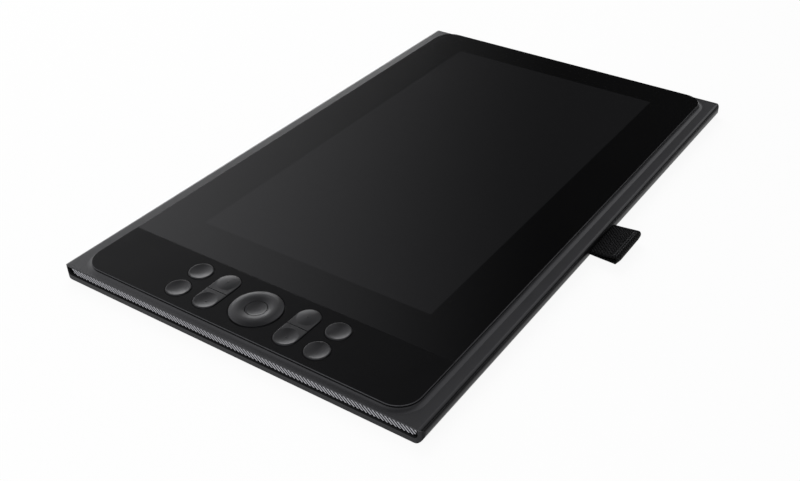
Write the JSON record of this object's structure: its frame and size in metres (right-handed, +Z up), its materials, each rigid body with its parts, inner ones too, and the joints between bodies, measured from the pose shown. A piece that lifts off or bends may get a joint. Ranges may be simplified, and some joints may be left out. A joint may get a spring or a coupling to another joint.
{
  "type": "graphics tablet with screen",
  "caption": "Flat pen display: dark glass screen raised on a slim sleeve, key strip with round keys and a turning dial, ribbed end and a woven pen loop on one side.",
  "frame": {"origin": "middle of the plan, pen loop included, on the surface that the foot strips stand on", "axes": "+Z up, +X along the length from the key end to the socket end, -Y towards the person who draws"},
  "size_m": [0.3466, 0.2352, 0.0131],
  "materials": {
    "sleeve": "black anodised, fine satin",
    "deck": "black, fine satin grain",
    "end_strip": "grey satin ribs",
    "end_panel": "black satin",
    "cover_glass": "etched, soft reflections, black behind",
    "key_panel": "black matte",
    "tape": "black foam tape",
    "clear_sheet": "clear",
    "screen": "dark, switched off",
    "white_film": "white film",
    "light_strip": "strip of small lamps",
    "tray_steel": "bright sheet steel",
    "circuit_board": "green solder mask",
    "shield": "plain sheet",
    "chip": "moulded black",
    "socket_steel": "drawn steel",
    "switch": "moulded black",
    "key": "dark grey satin",
    "dial": "dark grey satin",
    "code_disc": "black film",
    "hub": "grey moulded",
    "flat_cable": "amber film",
    "woven_band": "black ribbed weave",
    "clamp_steel": "plain sheet steel",
    "foot_rubber": "black rubber",
    "screw": "blackened steel",
    "post": "turned brass"
  },
  "bodies": {
    "tablet": {"rear_cover": "sleeve", "front_frame": "deck", "near_end_strip": "end_strip", "upper_end_panel": "end_panel", "lower_end_panel": "end_panel", "socket_plate": "end_panel", "screen_glass": "cover_glass", "key_panel": "key_panel", "glass_tape": "tape", "panel_tape": "tape", "clear_bond": "clear_sheet", "light_guide": "clear_sheet", "lcd_panel": "screen", "diffuser_films": "white_film", "reflector_sheet": "white_film", "light_strip": "light_strip", "backlight_tray": "tray_steel", "pen_sensor_board": "circuit_board", "mainboard": "circuit_board", "key_board": "circuit_board", "shield_plate": "shield", "board_chips": "chip", "dial_sensor": "chip", "upper_socket": "socket_steel", "lower_socket": "socket_steel", "power_switch": "switch", "key_switches": "switch", "dial_hub": "hub", "screen_cable": "flat_cable", "key_cable": "flat_cable", "pen_loop": "woven_band", "loop_clamp": "clamp_steel", "front_foot": "foot_rubber", "back_foot": "foot_rubber", "cover_screws": "screw", "board_screws": "screw", "cover_posts": "post"},
    "power_button": {"power_button": "key"},
    "upper_outer_key": {"upper_outer_key": "key"},
    "upper_inner_key": {"upper_inner_key": "key"},
    "lower_outer_key": {"lower_outer_key": "key"},
    "lower_inner_key": {"lower_inner_key": "key"},
    "upper_dish_key": {"upper_dish_key": "key"},
    "upper_dome_key": {"upper_dome_key": "key"},
    "lower_dish_key": {"lower_dish_key": "key"},
    "lower_dome_key": {"lower_dome_key": "key"},
    "dial_centre_key": {"dial_centre_key": "key"},
    "dial": {"dial_ring": "dial", "code_disc": "code_disc"}
  },
  "joints": [
    {"name": "power_button_press", "type": "slide", "parent": "tablet", "child": "power_button", "axis": [-1, 0, 0], "range_m": [0, 0.0005], "stiffness_N_per_m": 600, "springref_m": -0.0006},
    {"name": "upper_outer_key_press", "type": "slide", "parent": "tablet", "child": "upper_outer_key", "axis": [0, 0, -1], "range_m": [0, 0.0006], "stiffness_N_per_m": 600, "springref_m": -0.0006},
    {"name": "upper_inner_key_press", "type": "slide", "parent": "tablet", "child": "upper_inner_key", "axis": [0, 0, -1], "range_m": [0, 0.0006], "stiffness_N_per_m": 600, "springref_m": -0.0006},
    {"name": "lower_outer_key_press", "type": "slide", "parent": "tablet", "child": "lower_outer_key", "axis": [0, 0, -1], "range_m": [0, 0.0006], "stiffness_N_per_m": 600, "springref_m": -0.0006},
    {"name": "lower_inner_key_press", "type": "slide", "parent": "tablet", "child": "lower_inner_key", "axis": [0, 0, -1], "range_m": [0, 0.0006], "stiffness_N_per_m": 600, "springref_m": -0.0006},
    {"name": "upper_dish_key_press", "type": "slide", "parent": "tablet", "child": "upper_dish_key", "axis": [0, 0, -1], "range_m": [0, 0.0006], "stiffness_N_per_m": 600, "springref_m": -0.0006},
    {"name": "upper_dome_key_press", "type": "slide", "parent": "tablet", "child": "upper_dome_key", "axis": [0, 0, -1], "range_m": [0, 0.0006], "stiffness_N_per_m": 600, "springref_m": -0.0006},
    {"name": "lower_dish_key_press", "type": "slide", "parent": "tablet", "child": "lower_dish_key", "axis": [0, 0, -1], "range_m": [0, 0.0006], "stiffness_N_per_m": 600, "springref_m": -0.0006},
    {"name": "lower_dome_key_press", "type": "slide", "parent": "tablet", "child": "lower_dome_key", "axis": [0, 0, -1], "range_m": [0, 0.0006], "stiffness_N_per_m": 600, "springref_m": -0.0006},
    {"name": "dial_centre_key_press", "type": "slide", "parent": "tablet", "child": "dial_centre_key", "axis": [0, 0, -1], "range_m": [0, 0.0006], "stiffness_N_per_m": 600, "springref_m": -0.0006},
    {"name": "dial_turn", "type": "hinge", "parent": "tablet", "child": "dial", "pos_m": [-0.15071, 0.0081, 0.0117], "axis": [0, 0, 1], "continuous": true}
  ]
}
